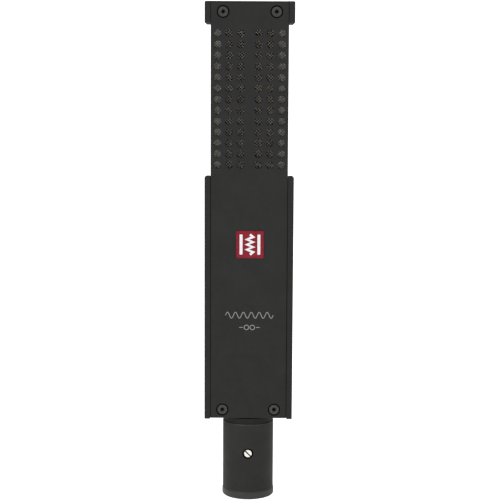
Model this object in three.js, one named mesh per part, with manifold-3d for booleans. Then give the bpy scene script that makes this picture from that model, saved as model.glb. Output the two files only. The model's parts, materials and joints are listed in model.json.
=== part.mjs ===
// A ribbon microphone: a flat two-sided body with perforated covers, a ribbon motor on rubber pads,
// an output transformer, and a round connector barrel with three pins. Millimetres, +Z up, the front
// faces -Y. The origin is the centre of the barrel's mouth.
import * as THREE from "three";
import { mergeVertices } from "three/addons/utils/BufferGeometryUtils.js";
import Module from "manifold-3d";

const wasm = await Module();
wasm.setup();

// ---- Driving dimensions ----

const GAP = 0.3; // clearance between neighbouring pieces
const SEAT = 0.1; // clearance between faces that are screwed together

// Connector barrel
const BARREL_R = 12.25;
const BARREL_TOP = 37.4;
const BARREL_EDGE = 0.4;
const RIM_R = 12.5;
const RIM_H = 3.8;
const RIM_EDGE = 0.7;
const SOCKET_R = 8.3;
const SOCKET_DEPTH = 14.2;
const BARREL_BORE_R = 9.2;
const NECK_R = 11.9;
const NECK_BORE_R = 5;
const NECK_WALL = 2;
const NECK_SPIGOT_H = 5.4;
const PIN_R = 1.2;
const PIN_CIRCLE_R = 3.8;
const PIN_TIP_Z = 1.8;
const TAIL_TOP_Z = 29.5;
const INSERT_H = 13;
const RETAINER_Z = 22.9;
const RETAINER_R = 2.05;
const RETAINER_HOLE_R = 2.6;
const RETAINER_END_Y = -11.9;
const RETAINER_L = 5.8;
const PIN_TIP_EDGE = [0.5, 0.9]; // across, along
const PIN_TAIL_R = 1;

// Body
const BODY_BOTTOM = 40.25;
const BODY_TOP = 238.4;
const COVER_BOTTOM = 40.6;
const COVER_TOP = 238.1;
const COVER_HALF_W = 18.15;
const COVER_T = 2;
const COVER_FACE_Y = 12; // outer face of each cover, from the mid plane
const RAIL_IN_X = COVER_HALF_W + SEAT;
const RAIL_OUT_X = 21;
const RAIL_HALF_D = 12.3;
const RAIL_TOP = 157.9; // at the front, from where it falls towards the rear
const RAIL_TOP_FALL = 5;
const RAIL_CORNER_R = 1.4;
const EAR_OUT_X = 20.95;
const EAR_HALF_D = 12.2;
const EAR_BOTTOM = 227.8;
const EAR_CHAMFER = 1.1;
const BLOCK_HALF_D = 9.7;
const BLIND_HOLE_END_Y = 3.4;
const BOTTOM_BLOCK_H = 9.7;
const POST_IN_X = 12.9;
const POST_OUT_X = 17.9;
const POST_HALF_D = 9.3;

// Perforation of the covers and the woven mesh behind it
const HOLE_R = 1.75;
const HOLE_COLUMNS = [4.15, 9.55, 14.95];
const HOLE_ROWS = 13;
const HOLE_PITCH = 5.1;
const HOLE_FIRST_Z = 162.75;
const HOLE_SIDES = 8;
const MESH_HALF_W = 17;
const MESH_BOTTOM = 159.5;
const MESH_TOP = 227.2;
const MESH_T = 0.5;

// Countersunk hexagon-socket screws
const HEAD_R = 2.4;
const HEAD_H = 1.35;
const SINK_R = 2.95;
const SHANK_R = 1.25;
const SCREW_HOLE_R = 1.55;
const SOCKET_ACROSS_CORNERS = 1.8;
const SOCKET_H = 1.1;
const COVER_SCREW_L = 8;
const COVER_SCREW_X = 12.4;
const COVER_SCREW_Z = [44.8, 233.9];
const FRAME_SCREW_L = 16;
const FRAME_SCREW_X = 15;

// Ribbon motor
const MOTOR_BOTTOM = 162.5;
const MOTOR_TOP = 226.8;
const YOKE_OUT_X = 11.4;
const YOKE_IN_X = 9.7;
const YOKE_HALF_D = 4.5;
const YOKE_BAR = 3;
const MAGNET_X = [4.9, 9.4];
const MAGNET_HALF_D = 4.2;
const POLE_X = [2.4, 4.6];
const POLE_HALF_D = 2.2;
const POLE_Z = [170.8, 218.5];
const MAGNET_Z = [170.2, 219.1];
const RIBBON_HALF_W = 2;
const RIBBON_T = 0.15;
const RIBBON_WAVE = 0.5;
const RIBBON_FOLDS = 24;
const RIBBON_END = 0.2; // past the poles, at each end
const TAB_H = 4;
const TAB_HALF_T = 0.1;
const TAB_SHIFT = 0.3; // from the clamp's middle towards the ribbon
const CLAMP_H = 4.1;
const CLAMP_MID_Z = [167.85, 221.45];
const CLAMP_BAR_HALF_W = 9;
const CLAMP_BAR_Y = [-2, -0.4];
const CLAMP_BASE_HALF_W = 9.4;
const CLAMP_BASE_Y = [0.4, 4];
const CLAMP_SCREW_X = 5.6;
const CLAMP_HOLE_R = 1;
const PAD_X = [11.7, 12.6];
const PAD_HALF_D = 3;
const PAD_H = 8;

// Transformer, terminal board and leads
const CORE_HALF_W = 11.9;
const CORE_Z = [62, 84];
const CORE_HALF_D = 5.5;
const CORE_LEG = 4.2;
const CORE_WINDOW_X = 8.9;
const CORE_YOKE_H = 4;
const COIL_OUT_X = 8.6;
const COIL_OUT_Y = 8.8;
const BRACKET_T = 1.7;
const BRACKET_HALF_D = 4.5;
const BOARD_HALF_W = 10.8;
const BOARD_Y = [3, 4.4];
const BOARD_Z = [96, 122];
const BOARD_HOLE_X = [-7.5, -2.5, 2.5, 7.5];
const BOARD_HOLE_R = 0.9;
const BOARD_HOLE_INSET = 3;
const LEAD_R = 0.6;
const RIBBON_LEAD_R = 0.5;
const LEAD_SIDES = 6;

// Badge on the front cover
const BADGE_SIDE = 13.1;
const BADGE_CENTRE = [0.5, 125.1];
const BADGE_T = 0.4;
const BADGE_CORNER_R = 0.9;
const BADGE_LIFT = 0.05; // its film of glue

// ---- Materials ----

const finish = (color, roughness, metalness) => ({ color, roughness, metalness });
const DARK_PAINT = finish(0x333332, 0.62, 0.2);
const RAIL_PAINT = finish(0x373736, 0.55, 0.25);
const BLACK_STEEL = finish(0x2b2b2b, 0.4, 0.8);
const BRIGHT_STEEL = finish(0xd8d6d0, 0.25, 1);
const WOVEN_BRASS = finish(0x6b675c, 0.45, 0.9);
const SILVER = finish(0xc9c9c6, 0.2, 1);
const MAGNET_BLACK = finish(0x35353a, 0.4, 0.8);
const BLACK_IRON = finish(0x333437, 0.45, 0.8);
const FOIL = finish(0xe3e3e0, 0.25, 1);
const DARK_BRASS = finish(0x4a4438, 0.4, 0.9);
const BLACK_PLASTIC = finish(0x1c1c1c, 0.55, 0);
const RUBBER = finish(0x202020, 0.9, 0);
const LAMINATION = finish(0x55504a, 0.5, 0.7);
const COIL_TAPE = finish(0xa9752c, 0.5, 0);
const BOARD_GREEN = finish(0x24553a, 0.5, 0);
const ENAMEL_RED = finish(0x96233a, 0.3, 0);
const RED_LEAD = finish(0xa02822, 0.5, 0);
const WHITE_LEAD = finish(0xd8d5cc, 0.5, 0);
const BLACK_LEAD = finish(0x181818, 0.5, 0);

// ---- Solids ----

// A closed three.js geometry as a manifold-3d solid.
function solidOf(geometry) {
  const shell = geometry.index ? geometry.toNonIndexed() : geometry.clone();
  shell.deleteAttribute("normal");
  shell.deleteAttribute("uv");
  const merged = mergeVertices(shell, 1e-4);
  return new wasm.Manifold(
    new wasm.Mesh({
      numProp: 3,
      vertProperties: merged.attributes.position.array,
      triVerts: new Uint32Array(merged.index.array),
    }),
  );
}

// A manifold-3d solid back as a three.js geometry.
function geometryOf(solid) {
  const mesh = solid.getMesh();
  const geometry = new THREE.BufferGeometry();
  geometry.setAttribute("position", new THREE.BufferAttribute(mesh.vertProperties, 3));
  geometry.setIndex(new THREE.BufferAttribute(mesh.triVerts, 1));
  geometry.computeVertexNormals();
  return geometry;
}

const sum = (first, ...others) => others.reduce((total, next) => total.add(next), first);
const cut = (first, ...others) => others.reduce((left, next) => left.subtract(next), first);

// A box between two corners, each given as a [low, high] range.
function block([x0, x1], [y0, y1], [z0, z1]) {
  const geometry = new THREE.BoxGeometry(x1 - x0, y1 - y0, z1 - z0);
  geometry.translate((x0 + x1) / 2, (y0 + y1) / 2, (z0 + z1) / 2);
  return solidOf(geometry);
}

const centred = (half) => [-half, half];
const sided = (side, low, high) => (side > 0 ? [low, high] : [-high, -low]);

// A solid of revolution about Z, from [radius, z] points, anticlockwise with the radius to the right.
function turned(profile, segments) {
  const points = profile.map(([r, z]) => new THREE.Vector2(r, z));
  return solidOf(new THREE.LatheGeometry(points, segments).rotateX(Math.PI / 2));
}

const rod = (r, z0, z1, segments) => turned([[0, z0], [r, z0], [r, z1], [0, z1]], segments);

// These turn a solid built along +Z so that it points out of the front, the back or the underside.
const facingFront = (solid) => solid.rotate([90, 0, 0]);
const facingBack = (solid) => solid.rotate([-90, 0, 0]);
const facingDown = (solid) => solid.rotate([180, 0, 0]);

// An outline in X and Z, given a thickness along Y.
function plateGeometry(outline, [y0, y1], curveSegments) {
  const options = { depth: y1 - y0, bevelEnabled: false, curveSegments };
  return new THREE.ExtrudeGeometry(outline, options).rotateX(Math.PI / 2).translate(0, y1, 0);
}

const plate = (outline, range, curveSegments = 6) => solidOf(plateGeometry(outline, range, curveSegments));

function rectangle([x0, x1], [z0, z1]) {
  const corners = [[x0, z0], [x1, z0], [x1, z1], [x0, z1]];
  return new THREE.Shape(corners.map(([x, z]) => new THREE.Vector2(x, z)));
}

function polygonPath(x, z, r, sides) {
  const points = Array.from({ length: sides }, (_, i) => {
    const angle = ((i + 0.5) * 2 * Math.PI) / sides;
    return new THREE.Vector2(x + r * Math.cos(angle), z + r * Math.sin(angle));
  });
  return new THREE.Path(points);
}

// A lead along a smooth curve through the given points.
function lead(points, r) {
  const stops = points.map((p) => new THREE.Vector3(...p));
  const curve = new THREE.CatmullRomCurve3(stops, false, "centripetal");
  const section = new THREE.Shape(polygonPath(0, 0, r, LEAD_SIDES).getPoints());
  const options = { steps: points.length * 2, extrudePath: curve, bevelEnabled: false };
  return solidOf(new THREE.ExtrudeGeometry(section, options));
}

// ---- Screws ----

// A countersunk screw along -Z, its head's face at the origin, with a hexagon socket.
function countersunkScrew(length) {
  const edge = 0.1;
  const body = turned(
    [[0, -length], [SHANK_R, -length], [SHANK_R, -HEAD_H], [HEAD_R, -HEAD_H + HEAD_R - SHANK_R - edge],
      [HEAD_R, -edge], [HEAD_R - edge, 0], [0, 0]],
    12,
  );
  return cut(body, rod(SOCKET_ACROSS_CORNERS / 2, -SOCKET_H, 1, 6));
}

// What is cut away for such a screw, from a face at z = 0 down to a depth.
function screwHole(depth) {
  const above = 1;
  const sink = SINK_R - SCREW_HOLE_R;
  return turned(
    [[0, -depth], [SCREW_HOLE_R, -depth], [SCREW_HOLE_R, -sink], [SINK_R, 0], [SINK_R, above], [0, above]],
    16,
  );
}

// A slotted pan-head screw along -Z, for the ribbon clamps.
function clampScrew() {
  const [headR, headH, shankR, length] = [1.3, 0.9, 0.7, 4.6];
  const [slotW, slotDepth] = [0.4, 0.4];
  const body = turned(
    [[0, -length], [shankR, -length], [shankR, 0], [headR, 0], [headR, headH], [0, headH]],
    10,
  );
  return cut(body, block(centred(headR + 1), centred(slotW / 2), [headH - slotDepth, headH + 1]));
}

// ---- Body ----

function cover(side) {
  const outline = rectangle(centred(COVER_HALF_W), [COVER_BOTTOM, COVER_TOP]);
  for (let row = 0; row < HOLE_ROWS; row += 1) {
    const z = HOLE_FIRST_Z + row * HOLE_PITCH;
    for (const x of HOLE_COLUMNS) {
      outline.holes.push(polygonPath(x, z, HOLE_R, HOLE_SIDES), polygonPath(-x, z, HOLE_R, HOLE_SIDES));
    }
  }
  const face = side * COVER_FACE_Y;
  const inner = face - side * COVER_T;
  const panel = plate(outline, [Math.min(face, inner), Math.max(face, inner)]);
  const turn = side < 0 ? facingFront : facingBack;
  const holes = coverScrewPlaces().map(([x, z]) => turn(screwHole(COVER_T + 1)).translate([x, face, z]));
  return cut(panel, ...holes);
}

function coverScrewPlaces() {
  return COVER_SCREW_Z.flatMap((z) => [[-COVER_SCREW_X, z], [COVER_SCREW_X, z]]);
}

// Blind holes in a block for the cover screws of both faces.
function coverScrewHoles(z) {
  const depth = BLOCK_HALF_D - BLIND_HOLE_END_Y;
  const hole = rod(SCREW_HOLE_R, -depth, 1, 12);
  return [-COVER_SCREW_X, COVER_SCREW_X].flatMap((x) => [
    facingFront(hole).translate([x, -BLOCK_HALF_D, z]),
    facingBack(hole).translate([x, BLOCK_HALF_D, z]),
  ]);
}

const meshSheet = (side) =>
  block(
    centred(MESH_HALF_W),
    sided(side, COVER_FACE_Y - COVER_T - SEAT - MESH_T, COVER_FACE_Y - COVER_T - SEAT),
    [MESH_BOTTOM, MESH_TOP],
  );

// An ear of the top block: square at the top, with its three outer lower edges chamfered.
function ear(side) {
  const innerX = side * RAIL_IN_X;
  const ring = (outX, halfD, z) => [
    [innerX, -halfD, z], [side * outX, -halfD, z], [side * outX, halfD, z], [innerX, halfD, z],
  ];
  const rings = [
    ring(EAR_OUT_X - EAR_CHAMFER, EAR_HALF_D - EAR_CHAMFER, EAR_BOTTOM),
    ring(EAR_OUT_X, EAR_HALF_D, EAR_BOTTOM + EAR_CHAMFER),
    ring(EAR_OUT_X, EAR_HALF_D, BODY_TOP),
  ];
  return stacked(rings, side < 0);
}

// A closed solid through rings of four corners each, from the lowest to the highest.
function stacked(rings, mirrored) {
  const triangles = [[0, 2, 1], [0, 3, 2]];
  rings.slice(1).forEach((_, level) => {
    for (let i = 0; i < 4; i += 1) {
      const [a, b] = [level * 4 + i, level * 4 + ((i + 1) % 4)];
      triangles.push([a, b, b + 4], [a, b + 4, a + 4]);
    }
  });
  const top = (rings.length - 1) * 4;
  triangles.push([top, top + 1, top + 2], [top, top + 2, top + 3]);
  const index = mirrored ? triangles.map(([a, b, c]) => [a, c, b]) : triangles;
  const geometry = new THREE.BufferGeometry();
  geometry.setAttribute("position", new THREE.Float32BufferAttribute(rings.flat(2), 3));
  geometry.setIndex(index.flat());
  return solidOf(geometry);
}

function topBlock() {
  const web = block(centred(RAIL_IN_X + SEAT), centred(BLOCK_HALF_D), [EAR_BOTTOM, BODY_TOP]);
  const down = [-FRAME_SCREW_X, FRAME_SCREW_X].map((x) =>
    screwHole(BODY_TOP - EAR_BOTTOM + 1).translate([x, 0, BODY_TOP]),
  );
  return cut(sum(web, ear(-1), ear(1)), ...coverScrewHoles(COVER_SCREW_Z[1]), ...down);
}

function bottomBlock() {
  const top = BODY_BOTTOM + BOTTOM_BLOCK_H;
  const body = block(centred(COVER_HALF_W), centred(BLOCK_HALF_D), [BODY_BOTTOM, top]);
  const neckBore = rod(NECK_BORE_R + NECK_WALL + GAP, BODY_BOTTOM - 1, top + 1, 24);
  const up = [-FRAME_SCREW_X, FRAME_SCREW_X].map((x) =>
    facingDown(screwHole(BOTTOM_BLOCK_H + 1)).translate([x, 0, BODY_BOTTOM]),
  );
  return cut(body, neckBore, ...coverScrewHoles(COVER_SCREW_Z[0]), ...up);
}

// A rail beside the covers: its outer top corner is round, and its top falls towards the rear.
function rail(side) {
  const outline = new THREE.Shape();
  const [centreX, centreZ] = [side * (RAIL_OUT_X - RAIL_CORNER_R), RAIL_TOP - RAIL_CORNER_R];
  outline.moveTo(side * RAIL_IN_X, BODY_BOTTOM).lineTo(side * RAIL_OUT_X, BODY_BOTTOM);
  outline.absarc(centreX, centreZ, RAIL_CORNER_R, side > 0 ? 0 : Math.PI, Math.PI / 2, side < 0);
  outline.lineTo(side * RAIL_IN_X, RAIL_TOP);
  const geometry = plateGeometry(outline, centred(RAIL_HALF_D), 4);
  const { position } = geometry.attributes;
  for (let i = 0; i < position.count; i += 1) {
    const [y, z] = [position.getY(i), position.getZ(i)];
    const fall = (RAIL_TOP_FALL * (y + RAIL_HALF_D)) / (2 * RAIL_HALF_D);
    if (z > BODY_BOTTOM + 1) position.setZ(i, z - fall);
  }
  return solidOf(geometry);
}

// One side bar: a post between the blocks, and a rail joined to it by a bridge.
function sideFrame(side) {
  const postBottom = BODY_BOTTOM + BOTTOM_BLOCK_H + GAP;
  const postTop = EAR_BOTTOM - GAP;
  const bridgeX = sided(side, POST_OUT_X - 1, RAIL_IN_X + 1);
  const bridgeZ = [postBottom, RAIL_TOP - RAIL_TOP_FALL - 2];
  const post = block(sided(side, POST_IN_X, POST_OUT_X), centred(POST_HALF_D), [postBottom, postTop]);
  const bridge = block(bridgeX, centred(POST_HALF_D), bridgeZ);
  const screwDepth = FRAME_SCREW_L + 1 - BOTTOM_BLOCK_H;
  const holes = [
    rod(SCREW_HOLE_R, postBottom - 1, postBottom + screwDepth, 12),
    rod(SCREW_HOLE_R, postTop - screwDepth, postTop + 1, 12),
  ].map((hole) => hole.translate([side * FRAME_SCREW_X, 0, 0]));
  return cut(sum(post, bridge, rail(side)), ...holes);
}

function badge() {
  const [x, z] = BADGE_CENTRE;
  const half = BADGE_SIDE / 2;
  const inset = half - BADGE_CORNER_R;
  const outline = new THREE.Shape();
  [0, 1, 2, 3].forEach((corner) => {
    const [sx, sz] = [[1, 1], [-1, 1], [-1, -1], [1, -1]][corner];
    const from = (corner * Math.PI) / 2;
    outline.absarc(x + sx * inset, z + sz * inset, BADGE_CORNER_R, from, from + Math.PI / 2);
  });
  const back = -COVER_FACE_Y - BADGE_LIFT;
  return plate(outline, [back - BADGE_T, back], 3);
}

// ---- Connector ----

function barrel() {
  const shell = turned(
    [
      [SOCKET_R, 0], [RIM_R - RIM_EDGE, 0], [RIM_R, RIM_EDGE], [RIM_R, RIM_H - RIM_R + BARREL_R],
      [BARREL_R, RIM_H], [BARREL_R, BARREL_TOP - BARREL_EDGE], [BARREL_R - BARREL_EDGE, BARREL_TOP],
      [BARREL_BORE_R, BARREL_TOP], [BARREL_BORE_R, SOCKET_DEPTH], [SOCKET_R, SOCKET_DEPTH], [SOCKET_R, 0],
    ],
    36,
  );
  const window = facingFront(rod(RETAINER_HOLE_R, BARREL_BORE_R - 2, BARREL_R + 2, 16));
  return cut(shell, window.translate([0, 0, RETAINER_Z]));
}

// The collar between barrel and body, with a spigot into each.
function neck() {
  const top = BODY_BOTTOM + BOTTOM_BLOCK_H - 1;
  const spigotR = BARREL_BORE_R - GAP;
  const upperR = NECK_BORE_R + NECK_WALL;
  const bottom = BARREL_TOP - NECK_SPIGOT_H;
  const collarBottom = BARREL_TOP + SEAT;
  const collarTop = BODY_BOTTOM - SEAT;
  return turned(
    [
      [NECK_BORE_R, bottom], [spigotR, bottom], [spigotR, collarBottom], [NECK_R, collarBottom],
      [NECK_R, collarTop], [upperR, collarTop], [upperR, top], [NECK_BORE_R, top], [NECK_BORE_R, bottom],
    ],
    28,
  );
}

const pinPlaces = [[-PIN_CIRCLE_R, 0], [PIN_CIRCLE_R, 0], [0, -PIN_CIRCLE_R]];
const INSERT_BOTTOM = SOCKET_DEPTH + GAP;

function connectorInsert() {
  const top = INSERT_BOTTOM + INSERT_H;
  const body = rod(BARREL_BORE_R - GAP, INSERT_BOTTOM, top, 28);
  const pinHoles = pinPlaces.map(([x, y]) =>
    rod(PIN_R + GAP, INSERT_BOTTOM - 1, top + 1, 10).translate([x, y, 0]),
  );
  const retainerInner = -RETAINER_END_Y - RETAINER_L;
  const retainerHole = facingFront(rod(RETAINER_R + GAP, retainerInner - GAP, BARREL_R, 14));
  return cut(body, ...pinHoles, retainerHole.translate([0, 0, RETAINER_Z]));
}

function pin() {
  const [across, along] = PIN_TIP_EDGE;
  const shoulderZ = INSERT_BOTTOM + INSERT_H;
  return turned(
    [[0, PIN_TIP_Z], [PIN_R - across, PIN_TIP_Z], [PIN_R, PIN_TIP_Z + along], [PIN_R, shoulderZ],
      [PIN_TAIL_R, shoulderZ], [PIN_TAIL_R, TAIL_TOP_Z], [0, TAIL_TOP_Z]],
    10,
  );
}

// The slotted screw that locks the insert in the barrel, along -Z from its outer end.
function retainingScrew() {
  const edge = 0.25;
  const [slotW, slotDepth] = [0.7, 0.8];
  const body = turned(
    [[0, -RETAINER_L], [RETAINER_R, -RETAINER_L], [RETAINER_R, -edge], [RETAINER_R - edge, 0], [0, 0]],
    18,
  );
  return cut(body, block(centred(RETAINER_R + 1), centred(slotW / 2), [-slotDepth, 1]));
}

// ---- Ribbon motor ----

function yoke() {
  const windowZ = [MOTOR_BOTTOM + YOKE_BAR, MOTOR_TOP - YOKE_BAR];
  const outer = block(centred(YOKE_OUT_X), centred(YOKE_HALF_D), [MOTOR_BOTTOM, MOTOR_TOP]);
  return cut(outer, block(centred(YOKE_IN_X), centred(YOKE_HALF_D + 1), windowZ));
}

// The ribbon: one corrugated strip of even thickness, folded along its whole free length.
function ribbon() {
  const [bottom, top] = [POLE_Z[0] - RIBBON_END, POLE_Z[1] + RIBBON_END];
  const stops = RIBBON_FOLDS * 2;
  const line = Array.from({ length: stops + 1 }, (_, i) => [
    i % 2 ? RIBBON_WAVE : -RIBBON_WAVE,
    bottom + ((top - bottom) * i) / stops,
  ]);
  const front = line.map(([y, z]) => new THREE.Vector2(y - RIBBON_T, z));
  const back = line.map(([y, z]) => new THREE.Vector2(y + RIBBON_T, z)).reverse();
  const options = { depth: 2 * RIBBON_HALF_W, bevelEnabled: false };
  const geometry = new THREE.ExtrudeGeometry(new THREE.Shape([...front, ...back]), options);
  // The outline is drawn in Y and Z: turn it to stand up, with the strip's width along X.
  geometry.rotateX(Math.PI / 2).rotateZ(Math.PI / 2).translate(-RIBBON_HALF_W, 0, 0);
  return solidOf(geometry);
}

const tab = (z) => block(centred(RIBBON_HALF_W), centred(TAB_HALF_T), [z - TAB_H / 2, z + TAB_H / 2]);

function clampBar(z) {
  const body = block(centred(CLAMP_BAR_HALF_W), CLAMP_BAR_Y, [z - CLAMP_H / 2, z + CLAMP_H / 2]);
  return cut(body, ...clampHoles(z));
}

function clampBase(z) {
  const body = block(centred(CLAMP_BASE_HALF_W), CLAMP_BASE_Y, [z - CLAMP_H / 2, z + CLAMP_H / 2]);
  return cut(body, ...clampHoles(z));
}

function clampHoles(z) {
  const hole = facingFront(rod(CLAMP_HOLE_R, -CLAMP_BASE_Y[1] - 1, CLAMP_BASE_Y[1] + 1, 10));
  return [-CLAMP_SCREW_X, CLAMP_SCREW_X].map((x) => hole.translate([x, 0, z]));
}

// ---- Transformer, board and leads ----

function transformerCore() {
  const windowZ = [CORE_Z[0] + CORE_YOKE_H, CORE_Z[1] - CORE_YOKE_H];
  const windows = [-1, 1].map((side) =>
    block(sided(side, CORE_LEG, CORE_WINDOW_X), centred(CORE_HALF_D + 1), windowZ),
  );
  return cut(block(centred(CORE_HALF_W), centred(CORE_HALF_D), CORE_Z), ...windows);
}

function transformerCoil() {
  const height = [CORE_Z[0] + CORE_YOKE_H + GAP, CORE_Z[1] - CORE_YOKE_H - GAP];
  const outer = block(centred(COIL_OUT_X), centred(COIL_OUT_Y), height);
  return cut(outer, block(centred(CORE_LEG + GAP), centred(CORE_HALF_D + GAP), [CORE_Z[0], CORE_Z[1]]));
}

function transformerBracket() {
  const bottom = BODY_BOTTOM + BOTTOM_BLOCK_H + GAP;
  const top = CORE_Z[0] - GAP;
  const outer = block(centred(CORE_HALF_W), centred(BRACKET_HALF_D), [bottom, top]);
  const innerZ = [bottom - 1, top - BRACKET_T];
  return cut(outer, block(centred(CORE_HALF_W - BRACKET_T), centred(BRACKET_HALF_D + 1), innerZ));
}

function terminalBoard() {
  const board = block(centred(BOARD_HALF_W), BOARD_Y, BOARD_Z);
  const hole = facingFront(rod(BOARD_HOLE_R, -BOARD_Y[1] - 1, -BOARD_Y[0] + 1, 8));
  const rows = [BOARD_Z[0] + BOARD_HOLE_INSET, BOARD_Z[1] - BOARD_HOLE_INSET];
  const holes = BOARD_HOLE_X.flatMap((x) => rows.map((z) => hole.translate([x, 0, z])));
  return cut(board, ...holes);
}

const BOARD_MID_Y = (BOARD_Y[0] + BOARD_Y[1]) / 2;

const ribbonLeads = {
  ribbon_lead_upper: [
    [2.2, -2.3, 221.4], [2.2, -4.2, 221.3], [5.2, -6.3, 217], [8, -6.4, 205], [8.2, -6.4, 180],
    [7.8, -6, 162], [6, -1.5, 142], [4.2, 3.2, 128], [4, BOARD_MID_Y, BOARD_Z[1] + GAP],
  ],
  ribbon_lead_lower: [
    [-2.2, -2.3, 168], [-2.2, -4.2, 167.9], [-3.6, -6.4, 164], [-5.6, -5.6, 155],
    [-5.4, -1, 140], [-4.2, 3.2, 128], [-4, BOARD_MID_Y, BOARD_Z[1] + GAP],
  ],
};

// An output lead: from the board, past a corner of the transformer and through the neck, to a pin's tail.
function outputLead(startX, [cornerX, cornerY], [pinX, pinY]) {
  const [insideX, insideY] = [pinX * 0.55, pinY * 0.55];
  return lead(
    [
      [startX, BOARD_MID_Y, BOARD_Z[0] - GAP], [startX, BOARD_MID_Y, 92.5],
      [(startX + cornerX) / 2, (BOARD_MID_Y + cornerY) / 2, 89], [cornerX, cornerY, 84.5],
      [cornerX, cornerY, 64], [cornerX * 0.72, cornerY * 0.8, 57],
      [insideX + cornerX * 0.1, insideY + cornerY * 0.1, 51], [insideX, insideY, 46],
      [insideX, insideY, 36], [pinX, pinY, 31], [pinX, pinY, TAIL_TOP_Z + GAP],
    ],
    LEAD_R,
  );
}

// ---- Assembly ----

const microphone = new THREE.Group();
microphone.name = "ribbon_microphone";

function add(name, solid, look, parent = microphone) {
  const mesh = new THREE.Mesh(geometryOf(solid), new THREE.MeshStandardMaterial(look));
  mesh.name = name;
  parent.add(mesh);
  return mesh;
}

const body = new THREE.Group();
const connector = new THREE.Group();
const motor = new THREE.Group();
const electronics = new THREE.Group();
microphone.add(body, connector, motor, electronics);

for (const [name, side] of [["front", -1], ["rear", 1]]) {
  add(`${name}_cover`, cover(side), DARK_PAINT, body);
  add(`${name}_mesh`, meshSheet(side), WOVEN_BRASS, body);
  coverScrewPlaces().forEach(([x, z], i) => {
    const place = `${i < 2 ? "lower" : "upper"}_${x < 0 ? "left" : "right"}`;
    const screw = add(`cover_screw_${name}_${place}`, countersunkScrew(COVER_SCREW_L), BLACK_STEEL, body);
    screw.rotation.x = (-side * Math.PI) / 2;
    screw.position.set(x, side * (COVER_FACE_Y - SEAT), z);
  });
}

add("top_block", topBlock(), RAIL_PAINT, body);
add("bottom_block", bottomBlock(), RAIL_PAINT, body);
add("badge", badge(), ENAMEL_RED, body);
for (const [name, side] of [["left", -1], ["right", 1]]) {
  add(`${name}_frame`, sideFrame(side), RAIL_PAINT, body);
  const upper = add(`frame_screw_upper_${name}`, countersunkScrew(FRAME_SCREW_L), BLACK_STEEL, body);
  upper.position.set(side * FRAME_SCREW_X, 0, BODY_TOP - SEAT);
  const lower = add(`frame_screw_lower_${name}`, countersunkScrew(FRAME_SCREW_L), BLACK_STEEL, body);
  lower.rotation.x = Math.PI;
  lower.position.set(side * FRAME_SCREW_X, 0, BODY_BOTTOM + SEAT);
}

add("barrel", barrel(), DARK_PAINT, connector);
add("neck", neck(), DARK_PAINT, connector);
add("connector_insert", connectorInsert(), BLACK_PLASTIC, connector);
pinPlaces.forEach(([x, y], i) => {
  add(`pin_${i + 1}`, pin(), SILVER, connector).position.set(x, y, 0);
});
const retainer = add("retaining_screw", retainingScrew(), BRIGHT_STEEL, connector);
retainer.rotation.set(Math.PI / 2, 0, 0);
retainer.rotateZ(-Math.PI / 4);
retainer.position.set(0, RETAINER_END_Y, RETAINER_Z);

add("yoke", yoke(), BLACK_IRON, motor);
add("ribbon", ribbon(), FOIL, motor);
for (const [name, side] of [["left", -1], ["right", 1]]) {
  const magnet = block(sided(side, ...MAGNET_X), centred(MAGNET_HALF_D), MAGNET_Z);
  add(`magnet_${name}`, magnet, MAGNET_BLACK, motor);
  const pole = block(sided(side, ...POLE_X), centred(POLE_HALF_D), POLE_Z);
  add(`pole_${name}`, pole, BLACK_IRON, motor);
}
[["lower", CLAMP_MID_Z[0]], ["upper", CLAMP_MID_Z[1]]].forEach(([level, z], i) => {
  add(`ribbon_tab_${level}`, tab(z + (i ? -TAB_SHIFT : TAB_SHIFT)), FOIL, motor);
  add(`clamp_bar_${level}`, clampBar(z), DARK_BRASS, motor);
  add(`clamp_base_${level}`, clampBase(z), BLACK_PLASTIC, motor);
  for (const [name, side] of [["left", -1], ["right", 1]]) {
    const screw = add(`clamp_screw_${level}_${name}`, clampScrew(), DARK_BRASS, motor);
    screw.rotation.x = Math.PI / 2;
    screw.position.set(side * CLAMP_SCREW_X, CLAMP_BAR_Y[0] - SEAT, z);
    const padZ = i ? [z - PAD_H, z] : [z, z + PAD_H];
    const pad = block(sided(side, ...PAD_X), centred(PAD_HALF_D), padZ);
    add(`isolator_${level}_${name}`, pad, RUBBER, motor);
  }
});

add("transformer_core", transformerCore(), LAMINATION, electronics);
add("transformer_coil", transformerCoil(), COIL_TAPE, electronics);
add("transformer_bracket", transformerBracket(), BLACK_IRON, electronics);
add("terminal_board", terminalBoard(), BOARD_GREEN, electronics);
for (const [name, points] of Object.entries(ribbonLeads)) {
  add(name, lead(points, RIBBON_LEAD_R), BLACK_LEAD, electronics);
}
const corners = [[-10.5, 7.6], [10.5, 7.6], [-10.5, -7.6]];
[RED_LEAD, WHITE_LEAD, BLACK_LEAD].forEach((look, i) => {
  const startX = [-7, 7, 0][i];
  add(`output_lead_${i + 1}`, outputLead(startX, corners[i], pinPlaces[i]), look, electronics);
});

export default microphone;
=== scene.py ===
"""A ribbon microphone in a plain pale studio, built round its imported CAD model.

The mesh code works in millimetres, +Z up, with the front facing -Y; make() turns a finished mesh into metres.
Places and outer sizes come from the frame's boxes. What is set here is the finer shape and every finish.
"""

import json
import math

import bmesh
import bpy
from mathutils import Matrix, Vector
from mathutils.geometry import tessellate_polygon


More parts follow.
